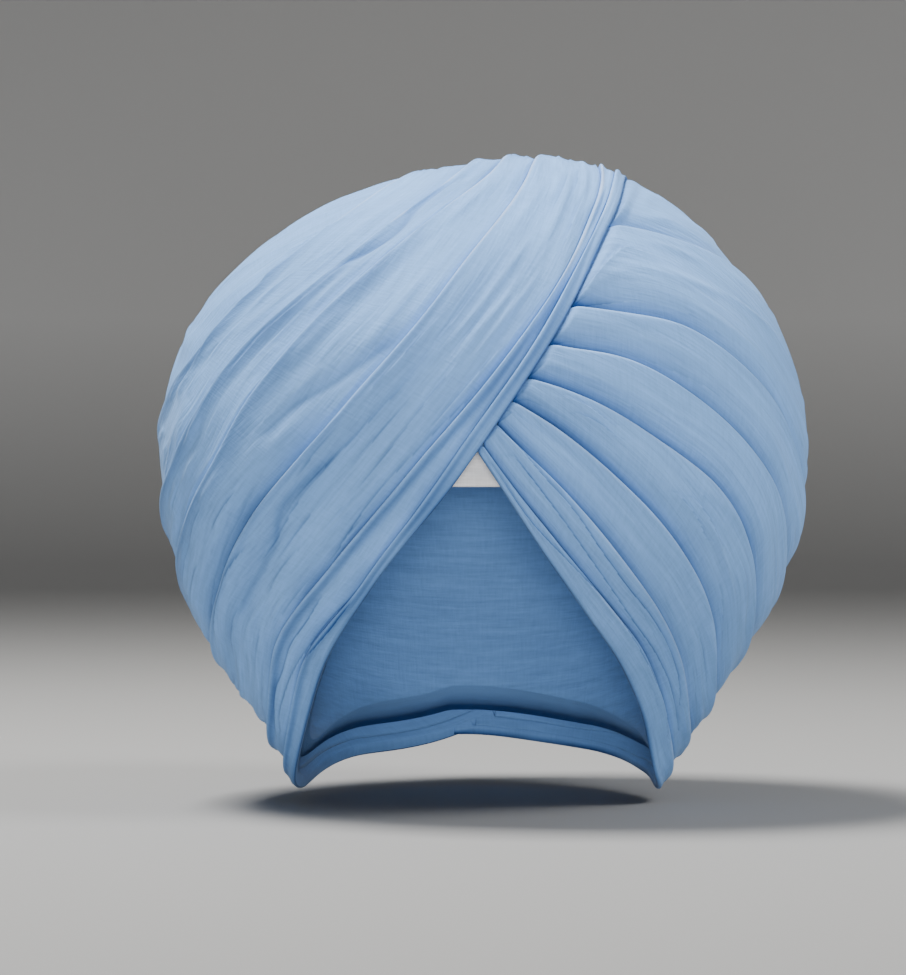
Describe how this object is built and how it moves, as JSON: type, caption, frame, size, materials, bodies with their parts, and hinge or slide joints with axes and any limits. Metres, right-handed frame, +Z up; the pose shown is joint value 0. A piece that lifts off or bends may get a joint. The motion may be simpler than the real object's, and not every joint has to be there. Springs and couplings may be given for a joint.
{
  "type": "tied turban",
  "caption": "Tied turban of wound light blue cotton voile, its laps crossing over the forehead above a narrow white under band.",
  "frame": {"origin": "on the hat line, at the middle of the head, level with the lower edge of the white under band", "axes": "+Z up the wearer's head, the wearer faces -Y, +X to the wearer's left"},
  "size_m": [0.2608, 0.2617, 0.2555],
  "materials": {
    "blue_voile": "fine matt cotton voile, sky blue",
    "white_band": "matt white cotton"
  },
  "bodies": {
    "root": {"under_band": "white_band", "inner_wrap": "blue_voile", "front_pleat_1": "blue_voile", "front_pleat_2": "blue_voile", "left_lap_1": "blue_voile", "left_lap_2": "blue_voile", "left_lap_3": "blue_voile", "left_lap_4": "blue_voile", "left_crown_lap": "blue_voile", "fan_pleat_1": "blue_voile", "fan_pleat_2": "blue_voile", "right_lap_1": "blue_voile", "right_lap_2": "blue_voile", "right_lap_3": "blue_voile", "right_lap_4": "blue_voile", "right_lap_5": "blue_voile", "right_crown_lap": "blue_voile"}
  },
  "joints": []
}
